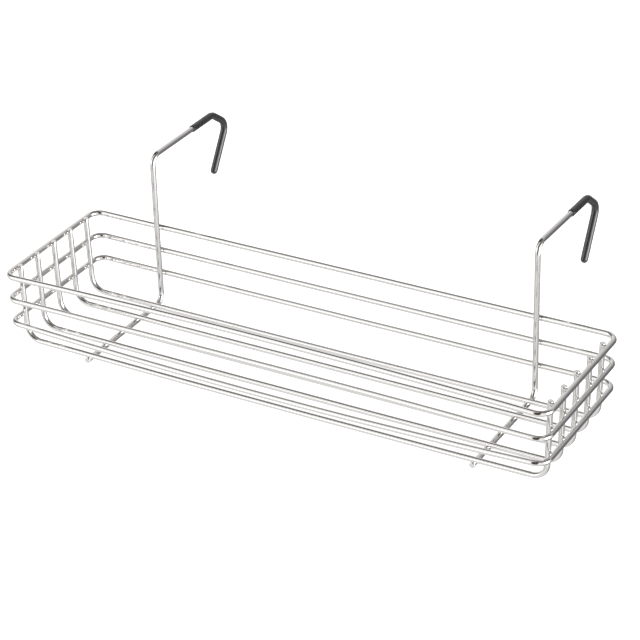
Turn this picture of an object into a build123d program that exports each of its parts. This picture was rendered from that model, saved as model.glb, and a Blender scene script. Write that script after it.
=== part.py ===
from build123d import *
from math import atan2, cos, radians, sin, tan
import os

# A hanging wire basket caddy: three rings, five floor wires, two hook wires, two sleeves.
# Millimetres. +X runs along the basket, +Y points back to the hooks and +Z is up.
# The origin is under the middle of the whole caddy, which stands on its two hook wires.

os.makedirs("parts", exist_ok=True)

# ------------------------------------------------------------------ wire stock
wire_dia = 4.0            # the same bright drawn wire makes every metal piece
weld_sink = 0.3           # how far two crossing wires are pressed into each other
end_break = 0.4           # rounding on the cut ends of the wires

# ----------------------------------------------------------------------- rings
ring_names = ["rim_ring", "middle_ring", "lower_ring"]
rim_length = 410.0        # centre line of the rim, end to end
ring_depth = 111.4        # centre line of every ring, front to back
ring_corner_r = 8.5       # centre line radius at the four corners
ring_pitch = 18.2         # height from one ring to the next
end_draft = 0.45          # each ring down is this much shorter at either end

# ----------------------------------------------------------------- floor wires
floor_wire_count = 5      # evenly spaced between the front and back margins
front_margin = 13.8       # front run of the rings to the first floor wire
back_margin = 16.8        # last floor wire to the back run of the rings
floor_bend_r = 11.0       # centre line radius where the floor turns up into a leg
lower_ring_rise = 18.8    # lower ring above the floor wires
leg_over_rim = 2.9        # cut ends of the legs above the centre of the rim

# ------------------------------------------------------------------ hook wires
hook_sides = {"left": -1, "right": 1}
hook_spacing = 297.4      # from one hook wire to the other
foot_overhang = 2.5       # foot in front of the centre of the first floor wire
foot_bend_r = 7.0         # foot to upright
arm_rise = 111.0          # level arm above the floor wires
arm_bend_r = 7.5          # upright to arm
arm_length = 80.6         # upright to crest
crest_bend_r = 6.5        # arm to shoulder run
shoulder_back = 16.2      # crest to shoulder, towards the back
shoulder_down = 12.8      # crest to shoulder, downwards
shoulder_bend_r = 8.0     # shoulder run to tip leg
tip_lean = 32.3           # degrees that the tip leg leans forward of straight down
tip_length = 38.5         # shoulder to the cut end of the wire

# --------------------------------------------------------------- vinyl sleeves
sleeve_wall = 0.6         # the sleeve is a stretch fit on the wire
sleeve_from = 54.0        # open end of the sleeve, from the upright
sleeve_past_end = 0.8     # straight vinyl past the cut end, before the domed tip
sleeve_lip = 0.2          # rounding on the rim of the open end

# --------------------------------------------------------------- derived sizes
wire_r = wire_dia / 2
sleeve_r = wire_r + sleeve_wall
crossing = wire_dia - weld_sink      # centre to centre of two wires welded across
foot_z = wire_r
floor_z = foot_z + crossing
rim_z = floor_z + lower_ring_rise + 2 * ring_pitch
arm_z = floor_z + arm_rise
leg_slope = end_draft / ring_pitch

# how far a hook reaches back from its upright, to the outside of the shoulder bend
shoulder_fall = atan2(shoulder_down, shoulder_back)
shoulder_turn = radians(90 + tip_lean) - shoulder_fall
shoulder_cut = tan(shoulder_turn / 2) * cos(shoulder_fall) + sin(shoulder_fall) - 1
hook_reach = arm_length + shoulder_back - shoulder_bend_r * shoulder_cut + sleeve_r

# the basket stands forward, so that the origin is midway from its front to the hooks' backs
basket_y = (wire_r + crossing - hook_reach) / 2
front_y = basket_y - ring_depth / 2
back_y = basket_y + ring_depth / 2
upright_y = back_y - crossing
floor_pitch = (ring_depth - front_margin - back_margin) / (floor_wire_count - 1)
floor_ys = [front_y + front_margin + floor_pitch * i for i in range(floor_wire_count)]


def leg_x(z):
    """Half length of a floor wire at height z, where its legs lie inside the rings."""
    return rim_length / 2 - crossing - leg_slope * (rim_z - z)


# ----------------------------------------------------------------------- rings
rings = []
for level, name in enumerate(ring_names):
    half_x = rim_length / 2 - end_draft * level
    half_y = ring_depth / 2
    ring_plane = Plane((0, basket_y, rim_z - ring_pitch * level))
    with BuildPart() as ring:
        with BuildLine(ring_plane) as ring_path:
            FilletPolyline(
                (-half_x, -half_y),
                (half_x, -half_y),
                (half_x, half_y),
                (-half_x, half_y),
                radius=ring_corner_r,
                close=True,
            )
        with BuildSketch(Plane(ring_path.line @ 0, z_dir=ring_path.line % 0)):
            Circle(wire_r)
        sweep()
    ring.part.label = name
    export_step(ring.part, f"parts/{name}.step")
    rings.append(ring.part)

# ----------------------------------------------------------------- floor wires
floor_wires = []
leg_top_z = rim_z + leg_over_rim
for number, y in enumerate(floor_ys, start=1):
    with BuildPart() as floor_wire:
        with BuildLine(Plane.XZ.offset(-y)) as floor_path:
            FilletPolyline(
                (-leg_x(leg_top_z), leg_top_z),
                (-leg_x(floor_z), floor_z),
                (leg_x(floor_z), floor_z),
                (leg_x(leg_top_z), leg_top_z),
                radius=floor_bend_r,
            )
        with BuildSketch(Plane(floor_path.line @ 0, z_dir=floor_path.line % 0)):
            Circle(wire_r)
        sweep()
        cut_ends = floor_wire.faces().filter_by(GeomType.PLANE)
        fillet(cut_ends.edges(), radius=end_break)
        # a saddle where each leg is welded inside each ring
        add(rings, mode=Mode.SUBTRACT)
    floor_wire.part.label = f"floor_wire_{number}"
    export_step(floor_wire.part, f"parts/floor_wire_{number}.step")
    floor_wires.append(floor_wire.part)

# ------------------------------------------------------------------ hook wires
crest = (upright_y + arm_length, arm_z)
shoulder = (crest[0] + shoulder_back, crest[1] - shoulder_down)
tip_direction = (-sin(radians(tip_lean)), -cos(radians(tip_lean)))


def along_tip(distance):
    """Point on the tip leg's line, a distance down from the shoulder."""
    return (
        shoulder[0] + tip_direction[0] * distance,
        shoulder[1] + tip_direction[1] * distance,
    )


hook_wires = {}
for side, sign in hook_sides.items():
    hook_plane = Plane.YZ.offset(sign * hook_spacing / 2)
    with BuildPart() as hook_wire:
        with BuildLine(hook_plane) as hook_path:
            FilletPolyline(
                (floor_ys[0] - foot_overhang, foot_z),
                (upright_y, foot_z),
                (upright_y, arm_z),
                crest,
                shoulder,
                along_tip(tip_length),
                radius=[foot_bend_r, arm_bend_r, crest_bend_r, shoulder_bend_r],
            )
        with BuildSketch(Plane(hook_path.line @ 0, z_dir=hook_path.line % 0)):
            Circle(wire_r)
        sweep()
        cut_ends = hook_wire.faces().filter_by(GeomType.PLANE)
        fillet(cut_ends.edges(), radius=end_break)
        # saddles under the floor wires and inside the back runs of the rings
        add(floor_wires, mode=Mode.SUBTRACT)
        add(rings, mode=Mode.SUBTRACT)
    hook_wire.part.label = f"hook_wire_{side}"
    export_step(hook_wire.part, f"parts/hook_wire_{side}.step")
    hook_wires[side] = hook_wire.part

# --------------------------------------------------------------- vinyl sleeves
for side, sign in hook_sides.items():
    sleeve_plane = Plane.YZ.offset(sign * hook_spacing / 2)
    dome_centre = along_tip(tip_length + sleeve_past_end)
    with BuildPart() as hook_sleeve:
        with BuildLine(sleeve_plane) as sleeve_path:
            FilletPolyline(
                (upright_y + sleeve_from, arm_z),
                crest,
                shoulder,
                dome_centre,
                radius=[crest_bend_r, shoulder_bend_r],
            )
        with BuildSketch(Plane(sleeve_path.line @ 0, z_dir=sleeve_path.line % 0)):
            Circle(sleeve_r)
        sweep()
        open_end = hook_sleeve.faces().filter_by(GeomType.PLANE).sort_by(Axis.Y)[0]
        fillet(open_end.edges(), radius=sleeve_lip)
        with Locations(sleeve_path.line @ 1):
            Sphere(sleeve_r)
        # the bore is the wire itself, bends and blunt end included
        add(hook_wires[side], mode=Mode.SUBTRACT)
    hook_sleeve.part.label = f"hook_sleeve_{side}"
    export_step(hook_sleeve.part, f"parts/hook_sleeve_{side}.step")
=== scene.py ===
"""A hanging wire shower caddy: its bright wires and black hook sleeves, dressed and lit in a studio."""

import logging
import math
from dataclasses import dataclass, field
from enum import Enum

import bpy
from mathutils import Matrix, Vector, noise


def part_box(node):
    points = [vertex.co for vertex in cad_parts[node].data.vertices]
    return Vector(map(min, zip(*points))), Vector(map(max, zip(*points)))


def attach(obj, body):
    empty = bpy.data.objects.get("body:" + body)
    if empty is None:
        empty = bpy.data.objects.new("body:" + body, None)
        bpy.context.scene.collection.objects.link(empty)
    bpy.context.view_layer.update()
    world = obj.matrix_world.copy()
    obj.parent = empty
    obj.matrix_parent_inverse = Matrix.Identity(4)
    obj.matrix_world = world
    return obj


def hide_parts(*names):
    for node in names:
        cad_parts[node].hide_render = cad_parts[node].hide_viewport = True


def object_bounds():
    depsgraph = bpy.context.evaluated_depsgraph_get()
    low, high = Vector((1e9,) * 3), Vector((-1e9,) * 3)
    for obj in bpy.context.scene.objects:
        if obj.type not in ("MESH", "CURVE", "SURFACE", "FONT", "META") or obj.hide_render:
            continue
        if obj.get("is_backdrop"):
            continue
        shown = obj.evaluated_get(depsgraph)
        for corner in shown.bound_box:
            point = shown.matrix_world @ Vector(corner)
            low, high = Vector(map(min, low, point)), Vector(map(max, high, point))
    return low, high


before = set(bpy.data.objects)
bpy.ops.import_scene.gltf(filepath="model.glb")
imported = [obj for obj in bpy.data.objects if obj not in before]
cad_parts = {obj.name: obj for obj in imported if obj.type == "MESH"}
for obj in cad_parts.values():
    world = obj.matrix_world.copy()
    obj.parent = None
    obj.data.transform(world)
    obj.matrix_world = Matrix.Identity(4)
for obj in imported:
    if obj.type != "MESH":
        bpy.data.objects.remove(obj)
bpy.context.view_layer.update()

MM = 0.001
SAME_PLACE = 0.001 * MM
BODY = "root"
NOISE_SEED = 7

X_WAY = Vector((1, 0, 0))
Y_WAY = Vector((0, 1, 0))
Z_WAY = Vector((0, 0, 1))

Colour = tuple[float, float, float]
Triple = tuple[float, float, float]
Section = tuple[list[Vector], list[Triple]]
Socket = bpy.types.NodeSocket
Feed = Socket | Vector | float | tuple[float, ...]

log = logging.getLogger("caddy")


class Slot(Enum):
    """The record's material slots."""

    WIRE = "bright_wire"
    VINYL = "black_vinyl"


class Side(Enum):
    """Which of the two hooks, by its sign along X."""

    LEFT = -1
    RIGHT = 1


class Level(Enum):
    """The rings, from the rim down."""

    RIM = "rim_ring"
    MIDDLE = "middle_ring"
    LOWER = "lower_ring"


class Seed(Enum):
    """A kind of piece's first noise seed and the step to its next, which keep any two from matching."""

    RING = (1.0, 2.9)
    FLOOR_WIRE = (20.0, 3.7)
    HOOK = (60.0, 5.1)
    LEG = (0.0, 7.3)
    LEG_WELD = (0.0, 1.9)
    FOOT_WELD = (0.0, 3.3)
    UPRIGHT_WELD = (40.0, 2.7)

    def of(self, number: float) -> float:
        """The seed of one piece, by its number."""
        first, step = self.value
        return first + step * number


# ------------------------------------------------------------------ wire forming


@dataclass
class Station:
    """One cross-section of a wire.

    Its bend is 0 on a straight run and rises to 1 in the middle of an arc, whose centre lies inward.
    """

    at: Vector
    run: float
    bend: float = 0.0
    inward: Vector = field(default_factory=Vector)
    radius: float = 0.0
    tangent: Vector = field(default_factory=Z_WAY.copy)


@dataclass
class Route:
    """A wire's centre line, as a bending machine has it: straight runs, and an arc at each corner."""

    corners: list[Vector]
    radii: list[float]
    closed: bool = False
    straight_step: float = 4.0 * MM
    arc_step: float = math.radians(4.0)
    fewest_arc_steps: int = 6

    def _arc(self, number: int, radius: float) -> list[tuple[Vector, float, Vector]]:
        """The arc at one corner.

        Args:
            number: The corner's place in the route.
            radius: Centre line radius.

        Returns:
            Points along the arc, each with how deep in the bend it is (0 to 1) and the way to the centre.
        """
        corner = self.corners[number]
        into = (corner - self.corners[number - 1]).normalized()
        out = (self.corners[(number + 1) % len(self.corners)] - corner).normalized()
        turn = into.angle(out)
        start = corner - into * radius * math.tan(turn / 2)
        axis = into.cross(out).normalized()
        centre = start + axis.cross(into) * radius
        count = max(self.fewest_arc_steps, math.ceil(turn / self.arc_step))
        made = []
        for i in range(count + 1):
            spoke = Matrix.Rotation(turn * i / count, 3, axis) @ (start - centre)
            made.append((centre + spoke, math.sin(math.pi * i / count), -spoke.normalized()))
        return made

    def stations(self) -> list[Station]:
        """The route as cross-sections.

        Returns:
            Stations from one end to the other, or once round a closed route.
        """
        count = len(self.corners)
        rounded = range(count) if self.closed else range(1, count - 1)
        arcs = [self._arc(number, radius) for number, radius in zip(rounded, self.radii)]
        still = Vector()
        if self.closed:
            line = [arcs[-1][-1]]
        else:
            line = [(self.corners[0], 0.0, still)]
            arcs.append([(self.corners[-1], 0.0, still)])
        for arc in arcs:
            start, goal = line[-1][0], arc[0][0]
            steps = max(1, round((goal - start).length / self.straight_step))
            line += [(start.lerp(goal, i / steps), 0.0, still) for i in range(1, steps)]
            line += arc
        if self.closed:
            line.pop()
        run = 0.0
        made = []
        for i, (at, bend, inward) in enumerate(line):
            if i:
                run += (at - line[i - 1][0]).length
            made.append(Station(at, run, bend, inward))
        return made


def bow(stations: list[Station], axis: int, place: float, half: float, by: Vector) -> None:
    """Bows one straight run of a wire along X, by most in its middle.

    Args:
        stations: The wire's cross-sections, which are moved.
        axis: The axis, Y or Z by number, that tells the run from the others.
        place: Where the run lies on that axis.
        half: Half the run's length.
        by: How far its middle moves.
    """
    for station in stations:
        if station.bend == 0 and abs(station.at[axis] - place) < SAME_PLACE:
            share = max(0.0, 1 - (station.at.x / half) ** 2)
            station.at = station.at + by * share


@dataclass
class Drawn:
    """How drawn wire departs from a perfect tube: it snakes, swells a hair, and goes oval in its bends."""

    snake: float = 0.10 * MM
    snake_pitch: float = 70.0 * MM
    snake_lost_in_bend: float = 0.7
    thick: float = 0.012 * MM
    thick_pitch: float = 11.0 * MM
    oval_thin: float = 0.035
    oval_wide: float = 0.02
    shift_slant: float = 0.37
    swell_slice: float = 4.1

    def shift(self, station: Station, seed: float) -> Vector:
        """How far a station is off the true line.

        Args:
            station: The cross-section.
            seed: A number of the wire's own.

        Returns:
            The offset in metres.
        """
        place = Vector((station.run / self.snake_pitch, seed, self.shift_slant * seed))
        return noise.noise_vector(place) * self.snake * (1 - self.snake_lost_in_bend * station.bend)

    def swell(self, station: Station, seed: float) -> float:
        """How much thicker than its gauge the wire is at a station.

        Args:
            station: The cross-section.
            seed: A number of the wire's own.

        Returns:
            What the radius gains, in metres.
        """
        return self.thick * noise.noise(Vector((station.run / self.thick_pitch, seed, self.swell_slice)))

    def oval(self, station: Station, out: Vector) -> float:
        """How much of the radius a bend adds or takes in one direction.

        Args:
            station: The cross-section.
            out: A direction in it.

        Returns:
            The share of the radius.
        """
        in_plane = out.dot(station.inward) ** 2
        return station.bend * (self.oval_wide * (1 - in_plane) - self.oval_thin * in_plane)


class Skin:
    """A mesh under construction, with the drawn coordinate and the weld heat of each vertex."""

    def __init__(self) -> None:
        """Starts with no faces."""
        self.points: list[Vector] = []
        self.faces: list[tuple[int, ...]] = []
        self.drawn: list[Triple] = []
        self.heat: list[float] = []

    def ring(self, points: list[Vector], drawn: list[Triple], heat: float = 0.0) -> list[int]:
        """Adds vertices.

        Args:
            points: Their places.
            drawn: Their drawn coordinates, across and along the wire.
            heat: 1 in a weld or on a cut face, 0 away from it.

        Returns:
            Their numbers.
        """
        first = len(self.points)
        self.points += points
        self.drawn += drawn
        self.heat += [heat] * len(points)
        return list(range(first, len(self.points)))

    def bridge(self, lower: list[int], upper: list[int]) -> None:
        """Adds a band of quads between two rings of the same count.

        Args:
            lower: The ring that runs anticlockwise seen from the other one.
            upper: The other ring.
        """
        count = len(lower)
        for i in range(count):
            j = (i + 1) % count
            self.faces.append((lower[i], lower[j], upper[j], upper[i]))

    def tube(self, rings: list[list[int]]) -> None:
        """Adds the bands between rings that follow one another."""
        for lower, upper in zip(rings, rings[1:]):
            self.bridge(lower, upper)

    def fan(self, rim: list[int], tip: int, flip: bool) -> None:
        """Adds triangles from a ring to one vertex.

        Args:
            rim: The ring.
            tip: The vertex that closes it.
            flip: True where the ring runs clockwise seen from outside.
        """
        count = len(rim)
        for i in range(count):
            j = (i + 1) % count
            self.faces.append((rim[j], rim[i], tip) if flip else (rim[i], rim[j], tip))

    def piece(self, name: str) -> bpy.types.Object:
        """The finished object.

        Args:
            name: Its name.

        Returns:
            The object, smooth shaded and linked to the scene.
        """
        mesh = bpy.data.meshes.new(name)
        mesh.from_pydata([tuple(p) for p in self.points], [], self.faces)
        drawn = mesh.attributes.new("drawn", "FLOAT_VECTOR", "POINT")
        drawn.data.foreach_set("vector", [v for row in self.drawn for v in row])
        heat = mesh.attributes.new("heat", "FLOAT", "POINT")
        heat.data.foreach_set("value", self.heat)
        mesh.shade_smooth()
        mesh.update()
        piece = bpy.data.objects.new(name, mesh)
        bpy.context.scene.collection.objects.link(piece)
        return piece


@dataclass
class Tube:
    """A round bar swept along a route, with broken edges and faintly domed faces at its cut ends."""

    radius: float
    seed: float = 0.0
    drawn: Drawn = field(default_factory=Drawn)
    sides: int = 32
    end_break: float = 0.4 * MM
    end_angles: tuple[float, ...] = (90, 65, 40, 15)
    end_heat: float = 0.8
    face_share: float = 0.45
    face_rise: float = 0.04 * MM
    tip_rise: float = 0.06 * MM

    def section(self, station: Station, flat: Vector, scale: float = 1.0, ahead: float = 0.0) -> Section:
        """One cross-section.

        Args:
            station: Where it is.
            flat: A direction square to the wire all along its route.
            scale: Its size against the full radius.
            ahead: How far it is moved along the wire.

        Returns:
            Its points, anticlockwise seen from ahead, and their drawn coordinates.
        """
        side = station.tangent.cross(flat).normalized()
        up = station.tangent.cross(side).normalized()
        points, coords = [], []
        for i in range(self.sides):
            angle = math.tau * i / self.sides
            out = side * math.cos(angle) + up * math.sin(angle)
            reach = station.radius * scale * (1 + self.drawn.oval(station, out))
            points.append(station.at + out * reach + station.tangent * ahead)
            coords.append((math.cos(angle) * reach, math.sin(angle) * reach, station.run + ahead))
        return points, coords

    def prepare(self, stations: list[Station], closed: bool) -> None:
        """Sets each station's place, radius and tangent.

        Args:
            stations: The route's cross-sections.
            closed: True for a ring.
        """
        for station in stations:
            station.at = station.at + self.drawn.shift(station, self.seed)
            station.radius = self.radius + self.drawn.swell(station, self.seed)
        last = len(stations) - 1
        for i, station in enumerate(stations):
            before = stations[i - 1] if i or closed else station
            after = stations[(i + 1) % len(stations)] if i < last or closed else station
            station.tangent = (after.at - before.at).normalized()

    def sweep(self, skin: Skin, stations: list[Station], flat: Vector, closed: bool = False) -> None:
        """Adds the bar to a skin.

        Args:
            skin: The mesh it joins.
            stations: The route's cross-sections.
            flat: A direction square to the wire all along its route.
            closed: True for a ring, which has no ends.
        """
        self.prepare(stations, closed)
        if closed:
            rings = [skin.ring(*self.section(s, flat)) for s in stations]
            skin.tube(rings + rings[:1])
            return
        start, end = stations[0], stations[-1]
        rings = [self._edge(skin, start, flat, angle, 1) for angle in self.end_angles]
        rings += [skin.ring(*self.section(s, flat)) for s in stations[1:-1]]
        rings += [self._edge(skin, end, flat, angle, -1) for angle in reversed(self.end_angles)]
        skin.tube(rings)
        self._face(skin, start, flat, rings[0], -1)
        self._face(skin, end, flat, rings[-1], 1)

    def _edge(self, skin: Skin, end: Station, flat: Vector, angle: float, inward: int) -> list[int]:
        """Adds one ring of the broken edge at a cut end.

        Args:
            skin: The mesh it joins.
            end: The last station.
            flat: A direction square to the wire.
            angle: How far round the edge it is, in degrees: 90 on the face, 0 on the bar.
            inward: Sign of the way into the bar, along the tangent.

        Returns:
            The ring's vertices.
        """
        turn = math.radians(angle)
        scale = 1 - self.end_break * (1 - math.cos(turn)) / self.radius
        ahead = inward * self.end_break * (1 - math.sin(turn))
        return skin.ring(*self.section(end, flat, scale, ahead), heat=self.end_heat)

    def _face(self, skin: Skin, end: Station, flat: Vector, rim: list[int], outward: int) -> None:
        """Closes a cut end.

        Args:
            skin: The mesh it joins.
            end: The last station.
            flat: A direction square to the wire.
            rim: The ring round the face.
            outward: Sign of the way out of the bar, along the tangent.
        """
        inner = skin.ring(*self.section(end, flat, self.face_share, outward * self.face_rise), heat=1.0)
        tip = skin.ring([end.at + end.tangent * outward * self.tip_rise], [(0, 0, end.run)], heat=1.0)
        skin.tube([rim, inner] if outward > 0 else [inner, rim])
        skin.fan(inner, tip[0], flip=outward < 0)


@dataclass
class Weld:
    """The bead of metal that a resistance weld leaves round the place where two wires cross."""

    wire_radius: float
    apart: float
    bead: float = 0.50 * MM
    flare: float = 0.16 * MM
    lump: float = 0.10 * MM
    sink: float = 0.03 * MM
    sides: int = 28
    levels: int = 7
    edge_share: float = 0.999
    widest_share: float = 0.98
    halvings: int = 24

    def _heights(self, reach: float, angle: float) -> tuple[float, float]:
        """Heights of the two wires' facing surfaces at one place round the contact.

        Args:
            reach: How far out the place is.
            angle: Which way it is from the middle, with the first wire at 0.

        Returns:
            The first wire's height and the second wire's, from halfway between their centre lines.
        """
        edge = self.wire_radius * self.edge_share
        across_first = min(reach * abs(math.sin(angle)), edge)
        across_second = min(reach * abs(math.cos(angle)), edge)
        square = self.wire_radius * self.wire_radius
        first = -self.apart / 2 + math.sqrt(square - across_first * across_first)
        second = self.apart / 2 - math.sqrt(square - across_second * across_second)
        return first, second

    def _reach(self, angle: float) -> float:
        """How far out the bead stands: to where the wires are one bead height apart.

        Args:
            angle: Which way from the middle of the contact.

        Returns:
            The distance from the middle.
        """
        low, high = 0.0, self.wire_radius * self.widest_share
        for _ in range(self.halvings):
            middle = (low + high) / 2
            first, second = self._heights(middle, angle)
            if second - first < self.bead:
                low = middle
            else:
                high = middle
        return low

    def add(self, skin: Skin, first: Vector, way: Vector, second: Vector, seed: float) -> None:
        """Adds the bead to a skin.

        Args:
            skin: The mesh it joins.
            first: Point on the first wire's centre line at the crossing.
            way: Direction of the first wire.
            second: Point on the second wire's centre line at the crossing.
            seed: A number of the weld's own.
        """
        up = (second - first).normalized()
        middle = (first + second) / 2
        along = (way - up * way.dot(up)).normalized()
        across = up.cross(along)
        rings = []
        for level in range(self.levels):
            share = level / (self.levels - 1)
            points, coords = [], []
            for i in range(self.sides):
                angle = math.tau * i / self.sides
                lump = noise.noise(Vector((math.cos(angle), math.sin(angle), seed))) * self.lump
                reach = self._reach(angle) + lump + self.flare * (2 * share - 1) ** 2
                low, high = self._heights(reach, angle)
                height = low + (high - low) * share - self.sink * (1 - 2 * share)
                out = along * math.cos(angle) + across * math.sin(angle)
                points.append(middle + out * reach + up * height)
                coords.append((reach * math.cos(angle), reach * math.sin(angle), height + seed))
            rings.append(skin.ring(points, coords, heat=1.0))
        skin.tube(rings)
        for rim, centre, flip in ((rings[0], first, True), (rings[-1], second, False)):
            tip = skin.ring([centre.copy()], [(0, 0, seed)], heat=1.0)
            skin.fan(rim, tip[0], flip)


# ------------------------------------------------------------------ finishes


@dataclass
class Graph:
    """A node tree under construction."""

    tree: bpy.types.NodeTree

    def fill(self, node: bpy.types.Node, inputs: dict[str | int, Feed]) -> None:
        """Gives a node its inputs.

        Args:
            node: The node.
            inputs: A plain value or another node's output for each input, by name or number.
        """
        for name, value in inputs.items():
            if isinstance(value, Socket):
                self.tree.links.new(value, node.inputs[name])
            else:
                node.inputs[name].default_value = value

    def node(self, kind: str, output: str, inputs: dict[str | int, Feed], **settings: str) -> Socket:
        """Adds a node.

        Args:
            kind: Its type.
            output: The output that is wanted of it.
            inputs: Its inputs.
            settings: Its own settings, by name.

        Returns:
            The output.
        """
        made = self.tree.nodes.new(kind)
        for name, value in settings.items():
            setattr(made, name, value)
        self.fill(made, inputs)
        return made.outputs[output]

    def ramp(self, fac: Socket, low: tuple[float, Colour], high: tuple[float, Colour]) -> Socket:
        """Adds a run from one colour to another.

        Args:
            fac: The number that picks the colour.
            low: The number at which the run starts, and its first colour.
            high: The number at which it ends, and its last colour.

        Returns:
            The colour.
        """
        made = self.tree.nodes.new("ShaderNodeValToRGB")
        for element, (position, colour) in zip(made.color_ramp.elements, (low, high)):
            element.position = position
            element.color = (*colour, 1.0)
        self.fill(made, {"Fac": fac})
        return made.outputs["Color"]

    def maths(self, operation: str, *numbers: Socket | float) -> Socket:
        """Adds one sum.

        Args:
            operation: Its name.
            numbers: What it is done to.

        Returns:
            The result.
        """
        return self.node("ShaderNodeMath", "Value", dict(enumerate(numbers)), operation=operation)


def start_material(name: str) -> tuple[bpy.types.Material, Graph, bpy.types.Node]:
    """Starts a node material.

    Args:
        name: Its name.

    Returns:
        The material, its graph and its shader.
    """
    made = bpy.data.materials.new(name)
    made.use_nodes = True
    return made, Graph(made.node_tree), made.node_tree.nodes["Principled BSDF"]


@dataclass(frozen=True)
class BrightWire:
    """Bright nickel-chrome plate over drawn steel wire: fine lines along the wire, duller at the welds."""

    name: str = "bright_wire_plate"
    colour: Colour = (0.80, 0.79, 0.775)
    line_shade: float = 0.93
    weld_colour: Colour = (0.66, 0.64, 0.61)
    roughness: tuple[float, float] = (0.06, 0.13)
    weld_roughness: float = 0.24
    line_scale: float = 2600.0
    line_stretch: float = 0.02
    pit_scale: float = 900.0
    pit_relief: float = 0.5
    bump: float = 0.22
    bump_height: float = 0.02 * MM

    def material(self) -> bpy.types.Material:
        """The plate as a node material.

        Returns:
            The material.
        """
        made, graph, shader = start_material(self.name)
        drawn = graph.node("ShaderNodeAttribute", "Vector", {}, attribute_name="drawn")
        heat = graph.node("ShaderNodeAttribute", "Fac", {}, attribute_name="heat")
        stretch = {"Vector": drawn, "Scale": (1.0, 1.0, self.line_stretch)}
        along = graph.node("ShaderNodeMapping", "Vector", stretch)
        drawing = {"Vector": along, "Scale": self.line_scale, "Detail": 3.0}
        lines = graph.node("ShaderNodeTexNoise", "Fac", drawing)
        pitting = {"Vector": drawn, "Scale": self.pit_scale, "Detail": 5.0, "Roughness": 0.7}
        pits = graph.node("ShaderNodeTexNoise", "Fac", pitting)

        polish, dull = self.roughness
        wear = {"Value": pits, "From Min": 0.35, "From Max": 0.70, "To Min": polish, "To Max": dull}
        worn = graph.node("ShaderNodeMapRange", "Result", wear)
        welded = {"Factor": heat, "A": worn, "B": self.weld_roughness}
        roughness = graph.node("ShaderNodeMix", "Result", welded, data_type="FLOAT")

        shaded = tuple(c * self.line_shade for c in self.colour)
        plate = graph.ramp(lines, (0.30, shaded), (0.62, self.colour))
        tint = {"Factor": heat, "A": plate, "B": (*self.weld_colour, 1.0)}
        colour = graph.node("ShaderNodeMix", "Result", tint, data_type="RGBA")

        relief = graph.maths("MULTIPLY_ADD", pits, self.pit_relief, lines)
        bumps = {"Strength": self.bump, "Distance": self.bump_height, "Height": relief}
        normal = graph.node("ShaderNodeBump", "Normal", bumps)
        graph.fill(shader, {"Base Color": colour, "Metallic": 1.0, "Roughness": roughness, "Normal": normal})
        return made


@dataclass(frozen=True)
class BlackVinyl:
    """Soft black vinyl sleeve: satin, with a faint orange peel and a dusting of dull patches."""

    name: str = "black_vinyl_sleeve"
    colour: Colour = (0.0110, 0.0104, 0.0114)
    dusty: Colour = (0.0190, 0.0182, 0.0196)
    roughness: tuple[float, float] = (0.25, 0.33)
    ior: float = 1.53
    specular: float = 0.9
    peel_scale: float = 1500.0
    patch_scale: float = 260.0
    bump: float = 0.35
    bump_height: float = 0.03 * MM

    def material(self) -> bpy.types.Material:
        """The vinyl as a node material.

        Returns:
            The material.
        """
        made, graph, shader = start_material(self.name)
        drawn = graph.node("ShaderNodeAttribute", "Vector", {}, attribute_name="drawn")
        peeling = {"Vector": drawn, "Scale": self.peel_scale, "Detail": 2.0}
        peel = graph.node("ShaderNodeTexNoise", "Fac", peeling)
        patching = {"Vector": drawn, "Scale": self.patch_scale, "Detail": 6.0, "Roughness": 0.65}
        patch = graph.node("ShaderNodeTexNoise", "Fac", patching)

        colour = graph.ramp(patch, (0.40, self.colour), (0.75, self.dusty))
        gloss, dull = self.roughness
        wear = {"Value": patch, "From Min": 0.35, "From Max": 0.70, "To Min": gloss, "To Max": dull}
        roughness = graph.node("ShaderNodeMapRange", "Result", wear)
        bumps = {"Strength": self.bump, "Distance": self.bump_height, "Height": peel}
        normal = graph.node("ShaderNodeBump", "Normal", bumps)
        graph.fill(shader, {"Base Color": colour, "Metallic": 0.0, "Roughness": roughness, "Normal": normal})
        graph.fill(shader, {"IOR": self.ior, "Specular IOR Level": self.specular})
        return made


# ------------------------------------------------------------------ the caddy


def install(piece: bpy.types.Object, node: str, material: bpy.types.Material) -> None:
    """Puts a finished piece in place of its CAD node.

    Args:
        piece: The piece.
        node: The CAD node that it stands for.
        material: Its finish.
    """
    piece.data.materials.append(material)
    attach(piece, BODY)
    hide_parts(node)
    log.info("%s: %d faces, for node %s", piece.name, len(piece.data.polygons), node)


@dataclass
class Gauge:
    """Sizes that are read from the CAD nodes' boxes."""

    wire_radius: float
    crossing: float
    rings: dict[Level, tuple[Vector, Vector]]
    floors: list[tuple[Vector, Vector]]

    @classmethod
    def read(cls) -> "Gauge":
        """Reads the boxes.

        Returns:
            The gauge.
        """
        rings = {level: tuple(Vector(v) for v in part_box(level.value)) for level in Level}
        names = sorted(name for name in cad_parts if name.startswith("floor_wire_"))
        floors = [tuple(Vector(v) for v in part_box(name)) for name in names]
        low, high = rings[Level.RIM]
        radius = (high.z - low.z) / 2
        foot_low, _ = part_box("hook_wire_left")
        return cls(radius, floors[0][0].z - foot_low[2], rings, floors)

    def ring_z(self, level: Level) -> float:
        """Height of a ring's centre line."""
        low, high = self.rings[level]
        return (low.z + high.z) / 2

    def leg_x(self, z: float) -> float:
        """Half length of the floor wires at a height: their legs lie just inside the rings.

        Args:
            z: The height.

        Returns:
            Distance of the legs' centre lines from the middle.
        """
        rim = self.rings[Level.RIM][1].x - self.wire_radius - self.crossing
        low = self.rings[Level.LOWER][1].x - self.wire_radius - self.crossing
        rise = self.ring_z(Level.RIM) - self.ring_z(Level.LOWER)
        return rim - (rim - low) / rise * (self.ring_z(Level.RIM) - z)


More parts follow.
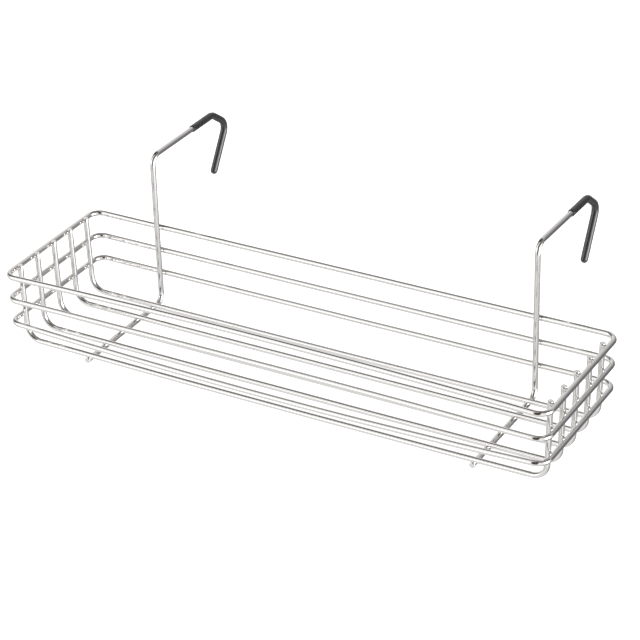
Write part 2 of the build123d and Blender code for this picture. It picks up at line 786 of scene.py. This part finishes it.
@dataclass
class BasketRing:
    """One of the three closed rings: four runs, four round corners, and long runs that sprang a little."""

    level: Level
    gauge: Gauge
    front_bow: Vector
    back_bow: Vector
    seed: float
    corner_radius: float = 8.5 * MM

    def build(self) -> bpy.types.Object:
        """Makes the ring.

        Returns:
            The piece.
        """
        low, high = self.gauge.rings[self.level]
        inset = self.gauge.wire_radius
        left, right = low.x + inset, high.x - inset
        front, back = low.y + inset, high.y - inset
        z = self.gauge.ring_z(self.level)
        plan = ((left, front), (right, front), (right, back), (left, back))
        corners = [Vector((x, y, z)) for x, y in plan]
        stations = Route(corners, [self.corner_radius] * 4, closed=True).stations()
        half = right - self.corner_radius
        bow(stations, 1, front, half, self.front_bow)
        bow(stations, 1, back, half, self.back_bow)
        skin = Skin()
        Tube(inset, self.seed).sweep(skin, stations, Z_WAY, closed=True)
        return skin.piece(f"{self.level.value}_wire")

    def dress(self, piece: bpy.types.Object, material: bpy.types.Material) -> None:
        """Finishes the ring and puts it in place."""
        install(piece, self.level.value, material)


@dataclass
class FloorWire:
    """A floor wire, whose ends turn up inside the rings as legs that are welded to each ring."""

    number: int
    gauge: Gauge
    sag: float
    bend_radius: float = 11.0 * MM

    @property
    def node(self) -> str:
        """Name of its CAD node."""
        return f"floor_wire_{self.number}"

    def build(self) -> bpy.types.Object:
        """Makes the wire and its beads of weld.

        Returns:
            The piece.
        """
        gauge = self.gauge
        low, high = gauge.floors[self.number - 1]
        radius = gauge.wire_radius
        y = (low.y + high.y) / 2
        top, bottom = high.z, low.z + radius
        corners = [
            Vector((-gauge.leg_x(top), y, top)),
            Vector((-gauge.leg_x(bottom), y, bottom)),
            Vector((gauge.leg_x(bottom), y, bottom)),
            Vector((gauge.leg_x(top), y, top)),
        ]
        stations = Route(corners, [self.bend_radius] * 2).stations()
        bow(stations, 2, bottom, gauge.leg_x(bottom) - self.bend_radius, Z_WAY * -self.sag)
        skin = Skin()
        Tube(radius, Seed.FLOOR_WIRE.of(self.number)).sweep(skin, stations, Y_WAY)
        weld = Weld(radius, gauge.crossing)
        for side in Side:
            sign = side.value
            for place, level in enumerate(Level):
                z = gauge.ring_z(level)
                leg = Vector((sign * gauge.leg_x(z), y, z))
                run = Vector((sign * (gauge.rings[level][1].x - radius), y, z))
                seed = Seed.LEG.of(self.number) + Seed.LEG_WELD.of(place) + sign
                weld.add(skin, leg, Z_WAY, run, seed)
        return skin.piece(f"{self.node}_bar")

    def dress(self, piece: bpy.types.Object, material: bpy.types.Material) -> None:
        """Finishes the wire and puts it in place."""
        install(piece, self.node, material)


@dataclass
class Hook:
    """A hook wire: foot under the floor, upright inside the basket's back, arm, crest, shoulder and tip.

    The two hooks are bent by hand, so each has its own lengths.
    """

    side: Side
    gauge: Gauge
    aside: float
    arm_lift: float
    arm_droop: float
    arm_length: float
    shoulder_back: float
    tip_trim: float
    shoulder_down: float = 12.8 * MM
    tip_lean: float = math.radians(32.3)
    tip_length: float = 38.5 * MM
    foot_bend: float = 7.0 * MM
    arm_bend: float = 7.5 * MM
    crest_bend: float = 6.5 * MM
    shoulder_bend: float = 8.0 * MM

    def __post_init__(self) -> None:
        """Reads the hook's place from its CAD node."""
        low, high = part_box(self.node)
        radius = self.gauge.wire_radius
        self.x = (low[0] + high[0]) / 2 + self.aside
        self.foot_y = low[1]
        self.foot_z = low[2] + radius
        self.arm_z = high[2] - radius + self.arm_lift
        back = self.gauge.rings[Level.RIM][1].y - radius
        self.upright_y = back - self.gauge.crossing
        self.crest = (self.upright_y + self.arm_length, self.arm_z - self.arm_droop)
        self.shoulder = (self.crest[0] + self.shoulder_back, self.crest[1] - self.shoulder_down)

    @property
    def node(self) -> str:
        """Name of its CAD node."""
        return f"hook_wire_{self.side.name.lower()}"

    @property
    def seed(self) -> float:
        """The noise seed of the hook and its sleeve."""
        return Seed.HOOK.of(self.side.value)

    def at(self, y: float, z: float) -> Vector:
        """A point in the hook's own plane."""
        return Vector((self.x, y, z))

    def on_tip(self, past_end: float = 0.0) -> Vector:
        """A point on the tip leg's line.

        Args:
            past_end: How far past the wire's cut end.

        Returns:
            The point.
        """
        distance = self.tip_length - self.tip_trim + past_end
        y = self.shoulder[0] - math.sin(self.tip_lean) * distance
        z = self.shoulder[1] - math.cos(self.tip_lean) * distance
        return self.at(y, z)

    def build(self) -> bpy.types.Object:
        """Makes the wire and its beads of weld.

        Returns:
            The piece.
        """
        gauge = self.gauge
        radius = gauge.wire_radius
        corners = [
            self.at(self.foot_y, self.foot_z),
            self.at(self.upright_y, self.foot_z),
            self.at(self.upright_y, self.arm_z),
            self.at(*self.crest),
            self.at(*self.shoulder),
            self.on_tip(),
        ]
        radii = [self.foot_bend, self.arm_bend, self.crest_bend, self.shoulder_bend]
        skin = Skin()
        Tube(radius, self.seed).sweep(skin, Route(corners, radii).stations(), X_WAY)
        weld = Weld(radius, gauge.crossing)
        for number, (low, high) in enumerate(gauge.floors):
            y = (low.y + high.y) / 2
            foot, floor = self.at(y, self.foot_z), self.at(y, low.z + radius)
            weld.add(skin, foot, Y_WAY, floor, Seed.FOOT_WELD.of(number) + self.side.value)
        for number, (level, (_, high)) in enumerate(gauge.rings.items()):
            z = gauge.ring_z(level)
            upright, run = self.at(self.upright_y, z), self.at(high.y - radius, z)
            weld.add(skin, upright, Z_WAY, run, Seed.UPRIGHT_WELD.of(number) + self.side.value)
        return skin.piece(f"{self.node}_bar")

    def dress(self, piece: bpy.types.Object, material: bpy.types.Material) -> None:
        """Finishes the wire and puts it in place."""
        install(piece, self.node, material)


@dataclass
class Sleeve:
    """The vinyl sleeve on a hook: a short bore at its open end, two pinched bends and a domed tip."""

    hook: Hook
    starts: float
    wall: float = 0.6 * MM
    past_end: float = 0.8 * MM
    bore_gap: float = 0.03 * MM
    bore_depth: float = 3.0 * MM
    lip: float = 0.2 * MM
    lip_turn: float = 0.3
    fold: float = 0.10 * MM
    fold_pitch: float = 1.5 * MM
    dome_steps: int = 9
    straight_step: float = 1.5 * MM
    arc_step: float = math.radians(3)
    drawn: Drawn = field(default_factory=lambda: Drawn(snake=0.0, thick=0.03 * MM, oval_thin=0.05))

    @property
    def node(self) -> str:
        """Name of its CAD node."""
        return f"hook_sleeve_{self.hook.side.name.lower()}"

    def _mouth(self, radius: float) -> list[tuple[float, float]]:
        """The open end's rim, from deep in the bore to the outside.

        Args:
            radius: The sleeve's outside radius.

        Returns:
            Radius and distance along the sleeve of each ring.
        """
        bore = self.hook.gauge.wire_radius + self.bore_gap
        turn = self.lip * self.lip_turn
        return [
            (bore, self.bore_depth),
            (bore, self.lip),
            (bore + turn, turn),
            (bore + self.lip, 0.0),
            (radius - self.lip, 0.0),
            (radius - turn, turn),
            (radius, self.lip),
        ]

    def _pinched(self, tube: Tube, station: Station) -> Section:
        """A section of the sleeve, wrinkled on the inside of a bend and stretched thin on its outside.

        Args:
            tube: The sleeve's bar.
            station: The cross-section.

        Returns:
            Its points and their drawn coordinates.
        """
        points, coords = tube.section(station, X_WAY)
        if station.bend:
            wave = math.sin(station.run / self.fold_pitch * math.tau)
            for i, point in enumerate(points):
                out = (point - station.at).normalized()
                inside = out.dot(station.inward)
                swell = inside * inside * wave if inside > 0 else inside
                points[i] = point + out * station.bend * swell * self.fold
        return points, coords

    def build(self) -> bpy.types.Object:
        """Makes the sleeve.

        Returns:
            The piece.
        """
        hook = self.hook
        radius = hook.gauge.wire_radius + self.wall
        crest = hook.at(*hook.crest)
        start = hook.at(hook.upright_y, hook.arm_z).lerp(crest, self.starts / hook.arm_length)
        corners = [start, crest, hook.at(*hook.shoulder), hook.on_tip(self.past_end)]
        radii = [hook.crest_bend, hook.shoulder_bend]
        route = Route(corners, radii, straight_step=self.straight_step, arc_step=self.arc_step)
        stations = route.stations()
        tube = Tube(radius, hook.seed, self.drawn)
        tube.prepare(stations, closed=False)
        first, last = stations[0], stations[-1]
        skin = Skin()
        rings = []
        for wide, ahead in self._mouth(radius):
            rings.append(skin.ring(*tube.section(first, X_WAY, wide / first.radius, ahead)))
        rings += [skin.ring(*self._pinched(tube, s)) for s in stations[1:]]
        for step in range(1, self.dome_steps):
            turn = math.pi / 2 * step / self.dome_steps
            ahead = last.radius * math.sin(turn)
            rings.append(skin.ring(*tube.section(last, X_WAY, math.cos(turn), ahead)))
        skin.tube(rings)
        plug = skin.ring([first.at + first.tangent * self.bore_depth], [(0, 0, 0)])
        skin.fan(rings[0], plug[0], flip=True)
        tip = skin.ring([last.at + last.tangent * last.radius], [(0, 0, last.run + last.radius)])
        skin.fan(rings[-1], tip[0], flip=False)
        return skin.piece(f"{self.node}_vinyl")

    def dress(self, piece: bpy.types.Object, material: bpy.types.Material) -> None:
        """Finishes the sleeve and puts it in place."""
        install(piece, self.node, material)


# ------------------------------------------------------------------ the studio


@dataclass(frozen=True)
class Card:
    """A soft-edged light or dark panel, far off round the object. Its sizes are half angles in degrees."""

    name: str
    towards: Triple
    wide: float
    high: float
    value: Colour
    soft: float
    along: Triple = (0.0, 0.0, 0.0)
    squareness: float = 4.0

    def axes(self) -> tuple[Vector, Vector, Vector]:
        """The panel's own directions.

        Returns:
            The way to its middle, and its long and short sides.
        """
        middle = Vector(self.towards).normalized()
        side = Vector(self.along) if any(self.along) else middle.cross(Z_WAY)
        side = (side - middle * side.dot(middle)).normalized()
        return middle, side, side.cross(middle).normalized()

    def lay(self, graph: Graph, ray: Socket, under: Socket) -> Socket:
        """Lays the panel over what is there already.

        Args:
            graph: The world's nodes.
            ray: The direction looked in.
            under: The colour so far.

        Returns:
            The new colour.
        """
        ahead, across, up = (
            graph.node("ShaderNodeVectorMath", "Value", {0: ray, 1: way}, operation="DOT_PRODUCT")
            for way in self.axes()
        )
        angles = (graph.maths("ARCTAN2", across, ahead), graph.maths("ARCSINE", up))
        shares = []
        for angle, half in zip(angles, (self.wide, self.high)):
            share = graph.maths("ABSOLUTE", graph.maths("DIVIDE", angle, math.radians(half)))
            shares.append(graph.maths("POWER", share, self.squareness))
        far = graph.maths("POWER", graph.maths("ADD", *shares), 1 / self.squareness)
        outer, inner = 1 + self.soft, 1 - self.soft
        fade = {"Value": far, "From Min": inner, "From Max": outer, "To Min": 1.0, "To Max": 0.0}
        edge = graph.node("ShaderNodeMapRange", "Result", fade, interpolation_type="SMOOTHSTEP")
        laid = {"Factor": edge, "A": under, "B": (*self.value, 1.0)}
        return graph.node("ShaderNodeMix", "Result", laid, data_type="RGBA", label=self.name)


@dataclass
class Studio:
    """The white floor, the room that the wires mirror, the lamp and the camera."""

    azimuth: float = math.radians(30.109)
    elevation: float = math.radians(29.235)
    roll: float = math.radians(-1.720)
    distance: float = 1.60646
    lens: float = 132.375
    sensor: float = 36.0
    sight: float = 200.0
    aim_offset: Triple = (0.92 * MM, -23.63 * MM, -20.90 * MM)
    floor_half: float = 60.0
    floor_gap: float = 0.02 * MM
    floor_tones: tuple[float, float] = (0.94, 0.96)
    floor_grain: float = 40.0
    floor_glow: float = 0.66
    lamp_side: float = 3.0
    lamp_height: float = 2.2
    lamp_energy: float = 20.0
    room: Colour = (1.10, 1.09, 1.08)
    below: Colour = (0.90, 0.895, 0.895)
    horizon: tuple[float, float] = (-0.30, 0.10)
    cards: tuple[Card, ...] = (
        Card("back_wall", (-0.10, 0.85, 0.42), 60, 30, (0.92, 0.91, 0.90), soft=0.5),
        Card("ceiling_gap", (0.0, 0.26, 0.966), 80, 21, (0.045, 0.036, 0.030), soft=0.4, along=(1, 0, 0)),
        Card("ceiling_right", (0.47, 0.03, 0.88), 33, 26, (0.22, 0.205, 0.195), soft=0.28, along=(0, 1, 0)),
        Card("back_room", (0.62, 0.75, -0.25), 50, 50, (0.17, 0.17, 0.18), soft=0.8),
        Card("right_wall", (0.93, 0.36, -0.10), 14, 26, (1.0, 1.0, 1.0), soft=0.4),
        Card("right_low", (0.72, 0.50, -0.49), 15, 14, (0.62, 0.62, 0.62), soft=0.5),
        Card("front_low", (0.68, -0.55, -0.49), 14, 12, (1.15, 1.15, 1.15), soft=0.5),
        Card("left_low", (-0.80, -0.33, -0.49), 19, 9, (0.62, 0.61, 0.61), soft=0.5),
        Card("right_box", (1.0, -0.03, 0.0), 19, 23, (6.5, 6.5, 6.8), soft=0.25),
        Card("left_box", (-0.60, -0.75, 0.26), 20, 15, (1.8, 1.8, 1.8), soft=0.35),
        Card("camera_gap", (0.12, -0.89, 0.43), 23, 48, (0.085, 0.070, 0.063), soft=0.2),
    )

    def floor(self) -> None:
        """A large plain floor, which glows a little so that it stays pale in the distance."""
        low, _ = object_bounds()
        half, z = self.floor_half, low[2] - self.floor_gap
        mesh = bpy.data.meshes.new("floor")
        corners = [(-half, -half, z), (half, -half, z), (half, half, z), (-half, half, z)]
        mesh.from_pydata(corners, [], [(0, 1, 2, 3)])
        floor = bpy.data.objects.new("floor", mesh)
        bpy.context.scene.collection.objects.link(floor)
        made, graph, shader = start_material("floor_white")
        grain = graph.node("ShaderNodeTexNoise", "Fac", {"Scale": self.floor_grain})
        dark, light = self.floor_tones
        tone = graph.ramp(grain, (0.0, (dark, dark, dark)), (1.0, (light, light, light)))
        graph.fill(shader, {"Base Color": tone, "Roughness": 1.0, "Specular IOR Level": 0.0})
        graph.fill(shader, {"Emission Color": (1.0, 1.0, 1.0, 1.0), "Emission Strength": self.floor_glow})
        mesh.materials.append(made)
        floor.visible_glossy = False
        floor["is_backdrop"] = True

    def world(self) -> None:
        """The room round the object, as panels of light and dark on a pale ground."""
        world = bpy.data.worlds.new("studio")
        bpy.context.scene.world = world
        world.use_nodes = True
        graph = Graph(world.node_tree)
        graph.tree.nodes.clear()
        ray = graph.node("ShaderNodeTexCoord", "Generated", {})
        height = graph.node("ShaderNodeSeparateXYZ", "Z", {"Vector": ray})
        rise = {"Value": height, "From Min": self.horizon[0], "From Max": self.horizon[1]}
        level = graph.node("ShaderNodeMapRange", "Result", rise, interpolation_type="SMOOTHSTEP")
        ground = {"Factor": level, "A": (*self.below, 1.0), "B": (*self.room, 1.0)}
        colour = graph.node("ShaderNodeMix", "Result", ground, data_type="RGBA")
        for card in self.cards:
            colour = card.lay(graph, ray, colour)
        sky = graph.node("ShaderNodeBackground", "Background", {"Color": colour})
        graph.fill(graph.tree.nodes.new("ShaderNodeOutputWorld"), {"Surface": sky})

    def lamp(self) -> None:
        """A broad overhead lamp that washes the floor and stays out of the wires' reflections."""
        data = bpy.data.lights.new("wash", "AREA")
        data.shape = "RECTANGLE"
        data.size = self.lamp_side
        data.size_y = self.lamp_side
        data.energy = self.lamp_energy
        lamp = bpy.data.objects.new("wash", data)
        lamp.location = (0.0, 0.0, self.lamp_height)
        lamp.visible_glossy = False
        bpy.context.scene.collection.objects.link(lamp)

    def camera(self) -> None:
        """A long lens above the basket, to the right of its front."""
        a, e = self.azimuth, self.elevation
        back = Vector((math.sin(a) * math.cos(e), -math.cos(a) * math.cos(e), math.sin(e)))
        right = Vector((math.cos(a), math.sin(a), 0.0))
        up = back.cross(right)
        turn = Matrix.Rotation(self.roll, 3, back)
        right, up = turn @ right, turn @ up
        low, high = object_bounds()
        middle = (Vector(low) + Vector(high)) / 2
        data = bpy.data.cameras.new("camera")
        data.lens = self.lens
        data.sensor_width = self.sensor
        data.clip_end = self.sight
        camera = bpy.data.objects.new("camera", data)
        place = Matrix((right, up, back)).transposed().to_4x4()
        place.translation = middle + Vector(self.aim_offset) + back * self.distance
        camera.matrix_world = place
        bpy.context.scene.collection.objects.link(camera)
        bpy.context.scene.camera = camera

    def build(self) -> None:
        """Sets up the floor, room, lamp and camera."""
        self.floor()
        self.world()
        self.lamp()
        self.camera()
        bpy.context.scene.view_settings.view_transform = "Standard"


def main() -> None:
    """Builds the studio and the caddy, piece by piece."""
    logging.basicConfig(level=logging.INFO, format="%(name)s: %(message)s")
    # noise vectors start from the clock unless they are given a seed
    noise.seed_set(NOISE_SEED)
    Studio().build()
    gauge = Gauge.read()
    plate = BrightWire().material()
    vinyl = BlackVinyl().material()
    bows = {
        Level.RIM: (Vector((0, 1.4 * MM, 2.1 * MM)), Vector((0, 0, 0))),
        Level.MIDDLE: (Vector((0, 0.6 * MM, 0.8 * MM)), Vector((0, 0, -0.3 * MM))),
        Level.LOWER: (Vector((0, 0, -4.0 * MM)), Vector((0, 0, -0.3 * MM))),
    }
    for place, level in enumerate(Level):
        ring = BasketRing(level, gauge, *bows[level], Seed.RING.of(place))
        ring.dress(ring.build(), plate)
    sags = (0.9 * MM, 0.6 * MM, 0.3 * MM, 0.3 * MM, 0.5 * MM)
    for number, sag in enumerate(sags, start=1):
        wire = FloorWire(number, gauge, sag)
        wire.dress(wire.build(), plate)
    left = Hook(
        Side.LEFT,
        gauge,
        aside=-0.35 * MM,
        arm_lift=0.9 * MM,
        arm_droop=0.4 * MM,
        arm_length=80.3 * MM,
        crest_bend=8.0 * MM,
        shoulder_back=18.5 * MM,
        shoulder_down=13.4 * MM,
        shoulder_bend=8.3 * MM,
        tip_trim=2.7 * MM,
    )
    right = Hook(
        Side.RIGHT,
        gauge,
        aside=-0.15 * MM,
        arm_lift=0.4 * MM,
        arm_droop=1.8 * MM,
        arm_length=79.4 * MM,
        shoulder_back=16.9 * MM,
        tip_lean=math.radians(29.3),
        tip_trim=1.3 * MM,
    )
    for hook, starts in ((left, 52.8 * MM), (right, 52.4 * MM)):
        hook.dress(hook.build(), plate)
        sleeve = Sleeve(hook, starts)
        sleeve.dress(sleeve.build(), vinyl)


if __name__ == "__main__":
    main()
